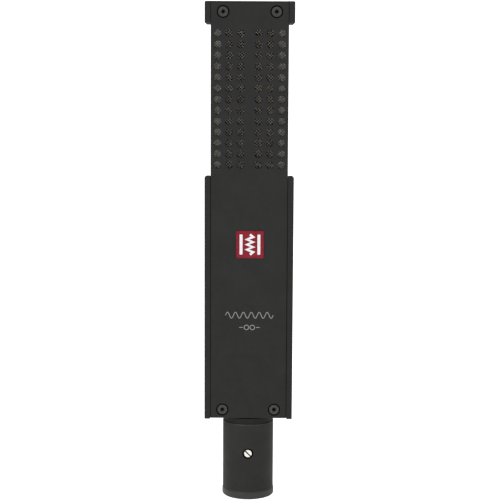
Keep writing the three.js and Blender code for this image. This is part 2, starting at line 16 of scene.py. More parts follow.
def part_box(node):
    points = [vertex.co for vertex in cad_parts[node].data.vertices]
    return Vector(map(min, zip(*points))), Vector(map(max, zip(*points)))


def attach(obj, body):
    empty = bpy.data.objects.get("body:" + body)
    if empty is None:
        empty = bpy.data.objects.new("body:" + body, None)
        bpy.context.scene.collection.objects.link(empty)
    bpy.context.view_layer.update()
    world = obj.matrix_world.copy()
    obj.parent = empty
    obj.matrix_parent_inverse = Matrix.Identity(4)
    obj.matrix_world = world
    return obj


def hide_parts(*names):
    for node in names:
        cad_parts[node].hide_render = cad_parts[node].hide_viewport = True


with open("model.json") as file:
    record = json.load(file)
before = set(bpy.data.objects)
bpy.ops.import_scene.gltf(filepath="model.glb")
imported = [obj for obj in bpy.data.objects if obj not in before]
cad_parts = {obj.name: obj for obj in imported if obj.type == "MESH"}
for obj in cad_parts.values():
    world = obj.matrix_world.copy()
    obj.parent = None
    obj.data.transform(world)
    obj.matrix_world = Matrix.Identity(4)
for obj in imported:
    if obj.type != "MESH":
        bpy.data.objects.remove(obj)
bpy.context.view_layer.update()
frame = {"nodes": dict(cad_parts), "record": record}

MM = 0.001
NEAR = 0.01  # millimetres by which a test of place is widened or narrowed
HOUSING, RIBBON_BODY, SCREW_BODY = "housing", "moving_ribbon", "turning_screw"

# ---- Sizes of the finer shapes, in millimetres ----

# Perforation of the two covers
HOLE_R = 1.75
HOLE_COLUMNS = (4.15, 9.55, 14.95)
HOLE_ROWS = 13
HOLE_PITCH = 5.1
HOLE_TOP_MARGIN = 14.15
HOLE_SEGMENTS = 32
HOLE_FILLET = 0.14
COVER_FILLET = 0.25
COVER_CORNER_R = 0.35

# Countersunk hexagon-socket screws
HEAD_R = 2.4
HEAD_H = 1.35
HEAD_EDGE_H = 0.3
SHANK_R = 1.25
SINK_R = 2.95
SINK_STEP = 0.3
CLEAR_R = 1.55
HEX_ACROSS_CORNERS = 1.8
HEX_DEPTH = 1.1
DRILL_POINT = 0.3
HEX_LEAD_IN = 0.12
THREAD_START = 0.5
THREAD_MARGIN = 0.9
THREAD_PITCH = 0.5
THREAD_DEPTH = 0.25
GROOVE_R = (1.3, 1.7)
GROOVE_DEPTH = 0.05
GROOVE_SLOPE = 0.12

# Woven wire cloth behind the perforation
WIRE_R = 0.165
WIRE_PITCH = 1.0
WIRE_SIDES = 5
STEPS_PER_CROSSING = 4

# Body
SEAT = 0.1
FIT_GAP = 0.3
BLOCK_EDGE = 0.25
BLIND_HOLE_END_Y = 3.4
RAIL_CORNER_R = 1.4
RAIL_SIDE_R = 0.5
RAIL_BELOW_MESH = 1.6
RAIL_FALL = 5.0
EAR_CHAMFER = 1.1
EAR_OVERLAP = 0.2
POST_IN_X = 12.9
POST_OUT_X = 17.9
POST_HALF_D = 9.5
BRIDGE_OVERLAP = 1.0
BRIDGE_DROP = 2.0

# Connector
NECK_BORE_R = 5.0
NECK_UPPER_R = 7.0
BORE_R = 9.2
SOCKET_R = 8.3
SOCKET_DEPTH = 14.2
LEAD_IN = 0.5
RIM_H = 3.8
RIM_STEP = 0.25
RIM_SLOPE = 0.8
RETAINER_R = 2.0
RETAINER_HEAD_H = 2.0
RETAINER_EDGE = 0.22
RETAINER_HOLE_R = 2.6
SLOT_W = 0.7
SLOT_DEPTH = 0.8
SLOT_TURN = -45
INSERT_GROOVE_R = (6.2, 7.2)
INSERT_GROOVE_DEPTH = 0.4
BOSS_R = 1.9
PIN_HOLE_R = 1.35
PIN_TAIL_R = 1.0

# Ribbon motor
YOKE_SIDE = 1.7
YOKE_BAR = 3.0
RIBBON_T = 0.04
RIBBON_WAVES = 32
CLAMP_SCREW_R = 1.3
CLAMP_SCREW_HEAD_H = 0.9
CLAMP_SHANK_R = 0.7
CLAMP_SLOT_W = 0.4
CLAMP_SLOT_DEPTH = 0.45

# Transformer and terminal board
CORE_LEG = 4.2
CORE_WINDOW_X = 8.9
CORE_YOKE_H = 4.0
CORE_SHEETS = 22
FLANGE_T = 0.9
BRACKET_T = 1.7
BOARD_HOLE_X = (-7.5, -2.5, 2.5, 7.5)
BOARD_HOLE_INSET = 3.0
BOARD_HOLE_R = 0.9
PAD_R = 1.7
PAD_T = 0.06

# Emblem on the badge and printed marks below it
BADGE_CORNER_R = 0.9
BADGE_FILLET = 0.18
STROKE = 1.4
EMBLEM_W = 9.8
EMBLEM_H = 9.6
FOLDS = 4
FOLD_W = 2.9
INK_T = 0.03
WAVE_CENTRE = (0.35, 91.0)
WAVE_W = 22.6
WAVE_H = 2.9
WAVE_CYCLES = 6
INK_STROKE = 0.38
PATTERN_CENTRE = (0.4, 85.1)
LOBE_R = 1.3
DASH_X = (3.2, 4.9)


def span(node):
    """A CAD node's lowest and highest corners, in millimetres."""
    low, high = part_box(node)
    return low / MM, high / MM


def middle(node):
    low, high = span(node)
    return (low + high) / 2


def sided(side, near, far):
    """A range of x on one side of the middle."""
    return (near, far) if side > 0 else (-far, -near)


LEFT_AND_RIGHT = (("left", -1), ("right", 1))
LEVELS = ("lower", "upper")


# ---- Mesh building ----


def rounded(path, radii, steps=4):
    """An open path of 2-D points, with an arc at each inner corner."""
    path = [Vector(p) for p in path]
    if not isinstance(radii, (list, tuple)):
        radii = [radii] * (len(path) - 2)
    points = [path[0]]
    for before, corner, after, radius in zip(path, path[1:], path[2:], radii):
        to_before = (before - corner).normalized()
        to_after = (after - corner).normalized()
        half = to_before.angle(to_after) / 2
        if radius == 0:
            points.append(corner)
            continue
        centre = corner + (to_before + to_after).normalized() * (radius / math.sin(half))
        reach = radius / math.tan(half)
        first = corner + to_before * reach - centre
        last = corner + to_after * reach - centre
        turn = first.angle_signed(last)
        for step in range(steps + 1):
            points.append(centre + Matrix.Rotation(-turn * step / steps, 2) @ first)
    return points + [path[-1]]


def edge_wall(thickness, fillet, steps=4):
    """The (offset, depth) steps of a panel's edge, rounded at both faces. Offsets inside it are negative."""
    return rounded([(-1, 0), (0, 0), (0, thickness), (-1, thickness)], fillet, steps)[1:-1]


def negated(wall):
    """A wall for an opening, from the wall of an outline."""
    return [(-offset, depth) for offset, depth in wall]


def circle(x, z, radius, segments):
    """An outline that gives a circle's points for an offset outwards."""

    def points(offset):
        turns = (2 * math.pi * i / segments for i in range(segments))
        return [(x + (radius + offset) * math.cos(t), z + (radius + offset) * math.sin(t)) for t in turns]

    return points


def rectangle(x0, x1, z0, z1, corner, steps=4):
    """An outline that gives a round-cornered rectangle's points for an offset outwards."""

    def points(offset):
        radius = max(corner + offset, 0.01)
        ring = []
        left, right, bottom, top = x0 + corner, x1 - corner, z0 + corner, z1 - corner
        for quarter, (cx, cz) in enumerate(((right, top), (left, top), (left, bottom), (right, bottom))):
            for step in range(steps + 1):
                turn = math.pi / 2 * (quarter + step / steps)
                ring.append((cx + radius * math.cos(turn), cz + radius * math.sin(turn)))
        return ring

    return points


def stroke(path, width):
    """An outline round a line's own width, with square ends."""
    path = [Vector(p) for p in path]
    ways = [(b - a).normalized() for a, b in zip(path, path[1:])]
    sides = []
    for before, after in zip([ways[0], *ways], [*ways, ways[-1]]):
        along = (before + after).normalized()
        mitre = 1 / max(0.5, along.dot(after))
        sides.append(Vector((-along.y, along.x)) * mitre)

    def points(offset):
        reach = width / 2 + offset
        left = [p + n * reach for p, n in zip(path, sides)]
        right = [p - n * reach for p, n in zip(path, sides)]
        return [tuple(p) for p in right + left[::-1]]

    return points


def band(lower, upper):
    """The faces between two rings of vertex numbers. They are triangles where a ring is a single point."""
    corners = zip(lower, [*lower[1:], lower[0]], [*upper[1:], upper[0]], upper)
    return [tuple(dict.fromkeys(face)) for face in corners]


def tube_faces(start, stops, sides):
    """The faces of a tube with closed ends, from the number of its first vertex."""
    rings = [range(start + stop * sides, start + (stop + 1) * sides) for stop in range(stops)]
    walls = [face for lower, upper in zip(rings, rings[1:]) for face in band(lower, upper)]
    return [*walls, tuple(rings[0]), tuple(rings[-1])]


def merged(shapes):
    """One (vertices, faces) from several."""
    vertices, faces = [], []
    for more, more_faces in shapes:
        faces += [tuple(i + len(vertices) for i in face) for face in more_faces]
        vertices += more
    return vertices, faces


def panel(outline, wall, openings=(), face_y=0):
    """A flat panel facing -Y. openings are (outline, wall) pairs, and a wall is (offset, depth) steps."""
    vertices, faces, front, back = [], [], [], []
    for points, steps in ((outline, wall), *openings):
        rings = []
        for offset, depth in steps:
            ring = [(x, face_y + depth, z) for x, z in points(offset)]
            rings.append(range(len(vertices), len(vertices) + len(ring)))
            vertices.extend(ring)
        for lower, upper in zip(rings, rings[1:]):
            faces.extend(band(lower, upper))
        front.append(rings[0])
        back.append(rings[-1])
    for loops in (front, back):
        flat = [i for loop in loops for i in loop]
        shape = [[Vector((vertices[i][0], vertices[i][2], 0)) for i in loop] for loop in loops]
        faces.extend(tuple(flat[i] for i in triangle) for triangle in tessellate_polygon(shape))
    return vertices, faces


def lathe(profile, segments):
    """A profile of (radius, z) turned about Z. It starts and ends on the axis, or closes on itself."""
    vertices, faces, rings = [], [], []
    for radius, z in profile:
        if radius < 1e-6:
            rings.append([len(vertices)] * segments)
            vertices.append((0, 0, z))
            continue
        rings.append(list(range(len(vertices), len(vertices) + segments)))
        for i in range(segments):
            turn = 2 * math.pi * i / segments
            vertices.append((radius * math.cos(turn), radius * math.sin(turn), z))
    closed = profile[0][0] > 1e-6
    for lower, upper in zip(rings, rings[1:] + (rings[:1] if closed else [])):
        faces.extend(band(lower, upper))
    return vertices, faces


def box_mesh(x, y, z):
    """A box from three (low, high) ranges."""
    vertices = [(a, b, c) for c in z for b in y for a in x]
    faces = [(0, 2, 3, 1), (4, 5, 7, 6), (0, 1, 5, 4), (2, 6, 7, 3), (0, 4, 6, 2), (1, 3, 7, 5)]
    return vertices, faces


def new_object(name, data):
    """An object that is in the scene."""
    thing = bpy.data.objects.new(name, data)
    bpy.context.scene.collection.objects.link(thing)
    return thing


def mesh_object(name, shape, matrix=Matrix.Identity(4)):
    """An object, still in millimetres, from (vertices, faces)."""
    mesh = bpy.data.meshes.new(name)
    vertices, faces = shape
    mesh.from_pydata(vertices, [], faces)
    build = bmesh.new()
    build.from_mesh(mesh)
    bmesh.ops.recalc_face_normals(build, faces=build.faces)
    build.to_mesh(mesh)
    build.free()
    mesh.transform(matrix)
    return new_object(name, mesh)


def box_object(name, x, y, z):
    return mesh_object(name, box_mesh(x, y, z))


def settle(thing):
    """Replaces an object's mesh with what its modifiers make of it."""
    depsgraph = bpy.context.evaluated_depsgraph_get()
    made = bpy.data.meshes.new_from_object(thing.evaluated_get(depsgraph), depsgraph=depsgraph)
    thing.modifiers.clear()
    thing.data = made
    return thing


def combined(thing, operation, others):
    """A boolean of an object with other objects, which are used up."""
    for other in others:
        modifier = thing.modifiers.new("boolean", "BOOLEAN")
        modifier.operation = operation
        modifier.solver = "EXACT"
        modifier.object = other
    settle(thing)
    for other in others:
        bpy.data.objects.remove(other)
    return thing


def cut(thing, *others):
    return combined(thing, "DIFFERENCE", others)


def joined(thing, *others):
    return combined(thing, "UNION", others)


def bevelled(thing, width, segments=3, angle=30):
    modifier = thing.modifiers.new("bevel", "BEVEL")
    modifier.width = width
    modifier.segments = segments
    modifier.limit_method = "ANGLE"
    modifier.angle_limit = math.radians(angle)
    modifier.miter_outer = "MITER_ARC"
    return settle(thing)


def make(thing, look, nodes=(), slot=None, body=HOUSING, sharp=40):
    """Finishes a piece: metres, smooth shading, material, body, and the CAD nodes that it stands for."""
    mesh = thing.data
    mesh.transform(Matrix.Scale(MM, 4))
    mesh.shade_smooth()
    mesh.set_sharp_from_angle(angle=math.radians(sharp))
    normals = thing.modifiers.new("normals", "WEIGHTED_NORMAL")
    normals.keep_sharp = True
    mesh.materials.clear()
    mesh.materials.append(look)
    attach(thing, body)
    if nodes:
        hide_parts(*nodes)


def second_look(thing, look, chosen):
    """Gives another material to the faces whose centres, in millimetres, chosen(point) picks."""
    thing.data.materials.append(look)
    for face in thing.data.polygons:
        if chosen(face.center / MM):
            face.material_index = 1


def turned(degrees, axis):
    return Matrix.Rotation(math.radians(degrees), 4, axis)


# The turns that point something built along +Z out of the front, the back, the underside or the top
TO_FRONT = turned(90, "X")
TO_BACK = turned(-90, "X")
TO_BELOW = turned(180, "X")
TO_ABOVE = Matrix.Identity(4)
FRONT_AND_REAR = (("front", Matrix.Identity(4)), ("rear", turned(180, "Z")))


# ---- Materials ----


def set_inputs(node, values):
    for name, value in values.items():
        node.inputs[name].default_value = value


def remapped(tree, value, start, end, low, high, kind="LINEAR"):
    """A value from start to end turned into one from low to high."""
    node = tree.nodes.new("ShaderNodeMapRange")
    node.interpolation_type = kind
    set_inputs(node, {"From Min": start, "From Max": end, "To Min": low, "To Max": high})
    tree.links.new(value, node.inputs["Value"])
    return node.outputs["Result"]


def calculated(tree, operation, first, second):
    node = tree.nodes.new("ShaderNodeMath")
    node.operation = operation
    tree.links.new(first, node.inputs[0])
    tree.links.new(second, node.inputs[1])
    return node.outputs["Value"]


class Look:
    """A material under construction: one Principled shader and the nodes that feed it."""

    def __init__(self, name, colour, roughness, metallic=0.0, specular=0.5):
        self.material = bpy.data.materials.new(name)
        self.material.use_nodes = True
        self.tree = self.material.node_tree
        self.shader = self.tree.nodes["Principled BSDF"]
        self.colour = (*colour, 1)
        self.roughness = roughness
        set_inputs(self.shader, {"Base Color": self.colour, "Roughness": roughness})
        set_inputs(self.shader, {"Metallic": metallic, "Specular IOR Level": specular})
        self.place = self.node("TexCoord").outputs["Object"]
        self.bumped = None

    def node(self, kind):
        return self.tree.nodes.new("ShaderNode" + kind)

    def link(self, output, node, socket):
        self.tree.links.new(output, node.inputs[socket])

    def noise(self, scale_mm, detail=3.0, stretch=(1, 1, 1)):
        """Noise whose features are about scale_mm across."""
        mapping = self.node("Mapping")
        set_inputs(mapping, {"Scale": stretch})
        texture = self.node("TexNoise")
        set_inputs(texture, {"Scale": 1 / (scale_mm * MM), "Detail": detail})
        self.link(self.place, mapping, "Vector")
        self.link(mapping.outputs["Vector"], texture, "Vector")
        return texture.outputs["Fac"]

    def mottle(self, value, other):
        """Blends the colour with another one by a value."""
        ramp = self.node("ValToRGB")
        stops = zip(ramp.color_ramp.elements, (0.3, 0.7), (self.colour, (*other, 1)))
        for element, position, colour in stops:
            element.position = position
            element.color = colour
        self.link(value, ramp, "Fac")
        self.link(ramp.outputs["Color"], self.shader, "Base Color")

    def vary_roughness(self, value, amount):
        """Swings the roughness by an amount, over the middle of a noise's range."""
        low, high = self.roughness - amount, self.roughness + amount
        self.link(remapped(self.tree, value, 0.35, 0.65, low, high), self.shader, "Roughness")

    def bump(self, value, height_mm, strength):
        """Raises the surface by a value. Later calls add to earlier ones."""
        node = self.node("Bump")
        set_inputs(node, {"Distance": height_mm * MM, "Strength": strength})
        self.link(value, node, "Height")
        if self.bumped:
            self.link(self.bumped, node, "Normal")
        self.bumped = node.outputs["Normal"]
        self.link(self.bumped, self.shader, "Normal")

    def rings(self, spacing_mm):
        """Turning marks: noise that changes only with the mesh's own distance from its turning axis."""
        radius = self.node("Attribute")
        radius.attribute_name = "turning_radius"
        texture = self.node("TexNoise")
        texture.noise_dimensions = "1D"
        set_inputs(texture, {"Scale": 1 / spacing_mm, "Detail": 2.0})
        self.link(radius.outputs["Fac"], texture, "W")
        return texture.outputs["Fac"]


def powder_coat(name, colour, other, roughness, specular):
    """Fine textured paint: close grain, and slow changes of tone and gloss."""
    look = Look(name, colour, roughness, specular=specular)
    look.mottle(look.noise(2.4, 6), other)
    look.vary_roughness(look.noise(9), 0.05)
    look.bump(look.noise(0.9, 2), 0.02, 0.5)
    look.bump(look.noise(0.22, 3), 0.012, 0.6)
    return look.material


def machined(name, colour, other, roughness, grain=(1, 1, 1)):
    """Bare or plated metal with fine tool marks."""
    look = Look(name, colour, roughness, metallic=1.0)
    look.mottle(look.noise(1.6, 4), other)
    look.vary_roughness(look.noise(0.8, 4, grain), 0.08)
    look.bump(look.noise(0.15, 2, grain), 0.004, 0.4)
    return look.material


def turned_metal(name, colour, other, roughness, metallic=1.0):
    look = Look(name, colour, roughness, metallic=metallic)
    look.mottle(look.noise(0.8, 4), other)
    look.vary_roughness(look.rings(0.12), 0.07)
    look.bump(look.rings(0.09), 0.006, 0.5)
    return look.material


def moulded(name, colour, other, roughness, grain_mm=0.3, specular=0.5):
    look = Look(name, colour, roughness, specular=specular)
    look.mottle(look.noise(1.5, 4), other)
    look.vary_roughness(look.noise(1.2), 0.06)
    look.bump(look.noise(grain_mm, 2), 0.006, 0.4)
    return look.material


def grey(value):
    return (value, value, value)


BODY_PAINT = powder_coat("body_paint", (0.0108, 0.0108, 0.0103), (0.013, 0.013, 0.0123), 0.62, 0.27)
BARREL_PAINT = powder_coat("barrel_paint", (0.013, 0.013, 0.0123), (0.0155, 0.0155, 0.0146), 0.62, 0.29)
# Painted shade: the collar's paint is darker, standing in for the shadow under the body's overhang.
NECK_SHADE_PAINT = powder_coat("neck_painted_shade", (0.0075, 0.0075, 0.0071), (0.0095, 0.0095, 0.009), 0.62, 0.22)
RAIL_PAINT = powder_coat("rail_paint", (0.0112, 0.0112, 0.0106), (0.0135, 0.0135, 0.0127), 0.62, 0.24)
# Painted highlight: lighter, glossier paint for faces turned to the light: the barrel's rim and top edge, and
# the chamfers under the top block's ears.
HIGHLIGHT_PAINT = powder_coat("painted_highlight_paint", (0.021, 0.021, 0.0198), (0.027, 0.027, 0.0254), 0.5, 0.46)
SCREW_STEEL = turned_metal("screw_steel", grey(0.045), (0.07, 0.069, 0.067), 0.42, 0.85)
# Painted shade: a near-black metal for the hexagon sockets and the countersinks' walls, standing in for the
# shade that falls in these recesses.
RECESS_PAINTED_SHADE = machined("recess_painted_shade", grey(0.012), grey(0.008), 0.6)
BARE_ALUMINIUM = machined("bare_aluminium", (0.14, 0.14, 0.134), (0.1, 0.1, 0.095), 0.5)
RETAINER_STEEL = turned_metal("retainer_steel", (0.86, 0.85, 0.82), (0.74, 0.72, 0.68), 0.27)
WIRE_METAL = machined("woven_mesh", (0.62, 0.6, 0.54), (0.38, 0.36, 0.31), 0.4)
PIN_SILVER = turned_metal("pin_silver", (0.83, 0.82, 0.8), (0.7, 0.68, 0.64), 0.2)
# Painted shade: a dark brown for the walls and floor of the retaining screw's slot, where shade falls in the
# cut.
SLOT_PAINTED_SHADE = machined("slot_painted_shade", (0.2, 0.15, 0.09), (0.12, 0.09, 0.05), 0.5)
MAGNET_BLACK = machined("magnet", grey(0.06), grey(0.045), 0.4)
SOLDER = machined("solder", grey(0.6), (0.45, 0.45, 0.46), 0.3)
SOFT_IRON = machined("soft_iron", (0.05, 0.05, 0.052), (0.035, 0.035, 0.036), 0.45, (1, 1, 8))
FOIL = machined("ribbon_foil", (0.82, 0.82, 0.81), (0.72, 0.72, 0.71), 0.28)
DARK_BRASS = turned_metal("clamp_brass", (0.08, 0.07, 0.05), (0.055, 0.048, 0.036), 0.4)
BLACK_PLASTIC = moulded("black_plastic", grey(0.018), grey(0.026), 0.45)
PAD_RUBBER = moulded("pad_rubber", grey(0.02), (0.03, 0.03, 0.029), 0.85, 0.6)
LAMINATION = machined("lamination", (0.16, 0.14, 0.125), (0.1, 0.09, 0.08), 0.5, (1, 9, 1))
COIL_TAPE = moulded("coil", (0.42, 0.22, 0.05), (0.5, 0.29, 0.09), 0.42)
BOARD = moulded("board", (0.02, 0.09, 0.045), (0.03, 0.12, 0.06), 0.4)
LEAD_RED = moulded("lead_red", (0.33, 0.025, 0.018), (0.4, 0.035, 0.025), 0.5)
LEAD_WHITE = moulded("lead_white", (0.68, 0.66, 0.6), (0.75, 0.73, 0.68), 0.5)
LEAD_BLACK = moulded("lead_black", grey(0.012), grey(0.018), 0.5)
ENAMEL_RED = moulded("badge_enamel", (0.27, 0.012, 0.026), (0.16, 0.006, 0.014), 0.4, specular=0.15)
EMBLEM_WHITE = moulded("emblem_white", (0.78, 0.79, 0.8), (0.7, 0.71, 0.73), 0.45)
INK_GREY = moulded("printed_ink", (0.26, 0.26, 0.255), (0.2, 0.2, 0.196), 0.6)


# ---- Camera, light and floor ----

FRONT_LIGHT = 0.56
BACK_LIGHT = 0.34
CEILING_LIGHT = 0.3
FLOOR_FRONT_GLOW = 0.8
FLOOR_BACK_GLOW = 0.22


def camera():
    """The view: from 0.8 m, slightly above the middle, leaning by a quarter of a degree."""
    elevation = math.radians(9.4)
    place = Vector((0.53, -789.2, 251.1)) * MM
    data = bpy.data.cameras.new("camera")
    data.lens = 120.13
    data.clip_start = 0.01
    thing = new_object("camera", data)
    tilt = Matrix.Rotation(math.pi / 2 - elevation, 4, "X")
    thing.matrix_world = Matrix.Translation(place) @ tilt @ turned(0.27, "Z")
    bpy.context.scene.camera = thing


def key_lamp():
    place = Vector((-0.7, -0.9, 1.0))
    aim = Vector((0, 0, 0.13)) - place
    data = bpy.data.lights.new("key", "AREA")
    data.shape = "DISK"
    data.size = 0.45
    data.energy = 5
    thing = new_object("key", data)
    thing.matrix_world = Matrix.Translation(place) @ aim.to_track_quat("-Z", "Y").to_matrix().to_4x4()


def soft_room():
    """A white room: bright in front, dim at the back, with a soft ceiling."""
    world = bpy.data.worlds.new("studio")
    world.use_nodes = True
    tree = world.node_tree
    way = tree.nodes.new("ShaderNodeSeparateXYZ")
    tree.links.new(tree.nodes.new("ShaderNodeTexCoord").outputs["Generated"], way.inputs["Vector"])
    walls = remapped(tree, way.outputs["Y"], -0.7, 0.5, FRONT_LIGHT, BACK_LIGHT, "SMOOTHSTEP")
    ceiling = remapped(tree, way.outputs["Z"], 0.1, 1, 0, CEILING_LIGHT, "SMOOTHSTEP")
    background = tree.nodes["Background"]
    set_inputs(background, {"Color": (1, 1, 1, 1)})
    tree.links.new(calculated(tree, "ADD", walls, ceiling), background.inputs["Strength"])
    return world


def floor_look():
    """Plain white to look at. As a source of light it is bright in front of the object and dim behind it."""
    look = Look("floor", grey(0.8), 0.8, specular=0.1)
    tree = look.tree
    place = look.node("SeparateXYZ")
    look.link(look.place, place, "Vector")
    glow = remapped(tree, place.outputs["Y"], -0.25, 0.25, FLOOR_FRONT_GLOW, FLOOR_BACK_GLOW, "SMOOTHSTEP")
    seen = look.node("LightPath").outputs["Is Camera Ray"]
    set_inputs(look.shader, {"Emission Color": (1, 1, 1, 1)})
    look.link(calculated(tree, "MAXIMUM", glow, seen), look.shader, "Emission Strength")
    return look.material


def studio():
    scene = bpy.context.scene
    scene.view_settings.view_transform = "Standard"
    scene.world = soft_room()
    key_lamp()
    reach = 40
    corners = [(-reach, -reach, 0), (reach, -reach, 0), (reach, reach, 0), (-reach, reach, 0)]
    floor = new_object("floor", bpy.data.meshes.new("floor"))
    floor.data.from_pydata(corners, [], [(0, 1, 2, 3)])
    floor.data.materials.append(floor_look())


# ---- Covers ----


def countersink_wall(thickness):
    """The wall of a countersunk hole, as offsets from the sink's radius."""
    narrow = CLEAR_R - SINK_R
    cone_end = SINK_STEP - narrow
    path = [(1, 0), (0, 0), (0, SINK_STEP), (narrow, cone_end), (narrow, thickness), (narrow + 1, thickness)]
    return rounded(path, [0.08, 0.1, 0.1, 0.1])[1:-1]


def cover_screw_places():
    places = [middle(node) for node in sorted(frame["nodes"]) if node.startswith("cover_screw_front")]
    return [(place.x, place.z) for place in places]


def cover_shape():
    low, high = span("front_cover")
    thickness = high.y - low.y
    hole_wall = negated(edge_wall(thickness, HOLE_FILLET, 3))
    openings = []
    for row in range(HOLE_ROWS):
        z = high.z - HOLE_TOP_MARGIN - row * HOLE_PITCH
        for x in HOLE_COLUMNS:
            openings.append((circle(x, z, HOLE_R, HOLE_SEGMENTS), hole_wall))
            openings.append((circle(-x, z, HOLE_R, HOLE_SEGMENTS), hole_wall))
    for x, z in cover_screw_places():
        openings.append((circle(x, z, SINK_R, 64), countersink_wall(thickness)))
    outline = rectangle(low.x, high.x, low.z, high.z, COVER_CORNER_R)
    return panel(outline, edge_wall(thickness, COVER_FILLET), openings, low.y)


def covers():
    shape = cover_shape()
    places = cover_screw_places()
    face_y = -span("front_cover")[0].y

    def in_sink(point):
        """Whether a point of either cover lies in the wall of a screw's hole, below its top edge."""
        near = any(math.hypot(abs(point.x) - abs(x), point.z - z) < SINK_R - NEAR for x, z in places)
        return near and abs(point.y) < face_y - 0.12

    for side, turn in FRONT_AND_REAR:
        node = side + "_cover"
        cover = mesh_object(node + "_panel", shape, turn)
        make(cover, BODY_PAINT, [node], "body_paint")
        # Painted shade: the countersinks' walls take the near-black recess look, a dark ring round each screw
        # head.
        second_look(cover, RECESS_PAINTED_SHADE, in_sink)


# ---- Woven wire cloth ----


def wires(half_w, half_h, along, across, sign):
    """One direction's wires of a plain weave over a rectangle, as (x, height, z) tubes."""
    vertices, faces = [], []
    reach = math.hypot(half_w, half_h)
    count = int(reach / WIRE_PITCH)
    step = WIRE_PITCH / STEPS_PER_CROSSING
    for index in range(-count, count + 1):
        root = across * (index * WIRE_PITCH)
        low, high = -reach, reach
        for place, way, half in ((root.x, along.x, half_w), (root.y, along.y, half_h)):
            ends = sorted(((-half - place) / way, (half - place) / way))
            low, high = max(low, ends[0]), min(high, ends[1])
        first, last = math.ceil(low / step), math.floor(high / step)
        if last - first < STEPS_PER_CROSSING:
            continue
        start = len(vertices)
        for stop in range(first, last + 1):
            centre = root + along * (stop * step)
            wave = math.cos(math.pi * stop / STEPS_PER_CROSSING)
            height = sign * WIRE_R * wave * (-1 if index % 2 else 1)
            for side in range(WIRE_SIDES):
                turn = 2 * math.pi * side / WIRE_SIDES
                offset = across * (WIRE_R * math.cos(turn))
                vertices.append((centre.x + offset.x, height + WIRE_R * math.sin(turn), centre.y + offset.y))
        faces += tube_faces(start, last - first + 1, WIRE_SIDES)
    return vertices, faces


def cloth_shape():
    low, high = span("front_mesh")
    diagonal, other = Vector((1, 1)).normalized(), Vector((-1, 1)).normalized()
    half = ((high.x - low.x) / 2 - WIRE_R, (high.z - low.z) / 2 - WIRE_R)
    return merged([wires(*half, diagonal, other, 1), wires(*half, other, diagonal, -1)])


def cloths():
    shape = cloth_shape()
    for side, turn in FRONT_AND_REAR:
        node = side + "_mesh"
        place = Matrix.Translation(middle(node)) @ turn
        make(mesh_object(node + "_cloth", shape, place), WIRE_METAL, [node], "woven_mesh", sharp=80)


# ---- Screws ----


def add_turning_radius(thing):
    """Stores each vertex's distance from the Z axis, for the turning marks."""
    attribute = thing.data.attributes.new("turning_radius", "FLOAT", "POINT")
    for vertex, value in zip(thing.data.vertices, attribute.data):
        value.value = math.hypot(vertex.co.x, vertex.co.y)
    return thing


def hexagon_cutter():
    """A hexagon socket with a drill point, and a small conical lead-in."""
    r = HEX_ACROSS_CORNERS / 2
    wide = r + HEX_LEAD_IN
    drilled = [(0, -HEX_DEPTH - DRILL_POINT), (r * 0.86, -HEX_DEPTH), (r, -HEX_DEPTH), (r, 1), (0, 1)]
    hexagon = mesh_object("socket", lathe(drilled, 6))
    return joined(hexagon, mesh_object("lead_in", lathe([(0, -wide), (wide, 0), (wide, 1), (0, 1)], 48)))


def countersunk_screw(length):
    """A countersunk screw along -Z with its head's face at the origin."""
    inner, outer = GROOVE_R
    head = rounded(
        [
            (0, 0), (inner, 0), (inner + GROOVE_SLOPE, -GROOVE_DEPTH), (outer - GROOVE_SLOPE, -GROOVE_DEPTH),
            (outer, 0), (HEAD_R, 0), (HEAD_R, -HEAD_EDGE_H), (SHANK_R, -HEAD_H), (SHANK_R, -HEAD_H - 0.3),
        ],
        [0, 0.03, 0.03, 0, 0.16, 0.06, 0.2],
        3,
    )
    shank = []
    turns = int((length - HEAD_H - THREAD_MARGIN) / THREAD_PITCH)
    for turn in range(turns):
        z = -HEAD_H - THREAD_START - turn * THREAD_PITCH
        shank += [(SHANK_R, z), (SHANK_R - THREAD_DEPTH, z - THREAD_PITCH / 2)]
    end = [(SHANK_R - 0.3, -length), (0, -length)]
    screw = mesh_object("screw", lathe(head + shank + end, 48))
    return add_turning_radius(cut(screw, hexagon_cutter()))


def in_socket(point):
    within = math.hypot(point.x, point.y) < HEX_ACROSS_CORNERS / 2 + NEAR
    return within and -HEX_DEPTH - DRILL_POINT - 0.1 < point.z < -HEX_LEAD_IN - NEAR


def screws():
    """Every countersunk screw: its box says where its head's face is, and its name which way that looks."""
    facing = {
        "cover_screw_front": TO_FRONT,
        "cover_screw_rear": TO_BACK,
        "frame_screw_upper": TO_ABOVE,
        "frame_screw_lower": TO_BELOW,
    }
    masters = {}
    for node in sorted(frame["nodes"]):
        turn = next((turn for start, turn in facing.items() if node.startswith(start)), None)
        if turn is None:
            continue
        low, high = span(node)
        length = round(max(high - low), 2)
        if length not in masters:
            masters[length] = countersunk_screw(length)
        out = turn.to_3x3() @ Vector((0, 0, 1))
        place = middle(node) + out * (length / 2)
        thing = new_object(node + "_detail", masters[length].data.copy())
        home = Matrix.Translation(place) @ turn
        thing.data.transform(home)
        make(thing, SCREW_STEEL, [node], "screw_steel", sharp=35)
        # Painted shade: the hexagon socket takes the near-black recess look, standing in for the shade inside
        # it.
        second_look(thing, RECESS_PAINTED_SHADE, lambda point, back=home.inverted(): in_socket(back @ point))
    for master in masters.values():
        bpy.data.objects.remove(master)


def round_cutter(radius, place, turn, depth, sink=False):
    """What is cut away for a screw or a bore: along -Z from a face, then turned and placed."""
    mouth = [(radius, radius - SINK_R), (SINK_R, 0), (SINK_R, 1)] if sink else [(radius, 1)]
    profile = [(0, -depth), (radius, -depth), *mouth, (0, 1)]
    return mesh_object("cutter", lathe(profile, 48), Matrix.Translation(place) @ turn)


# ---- Blocks and side frames ----


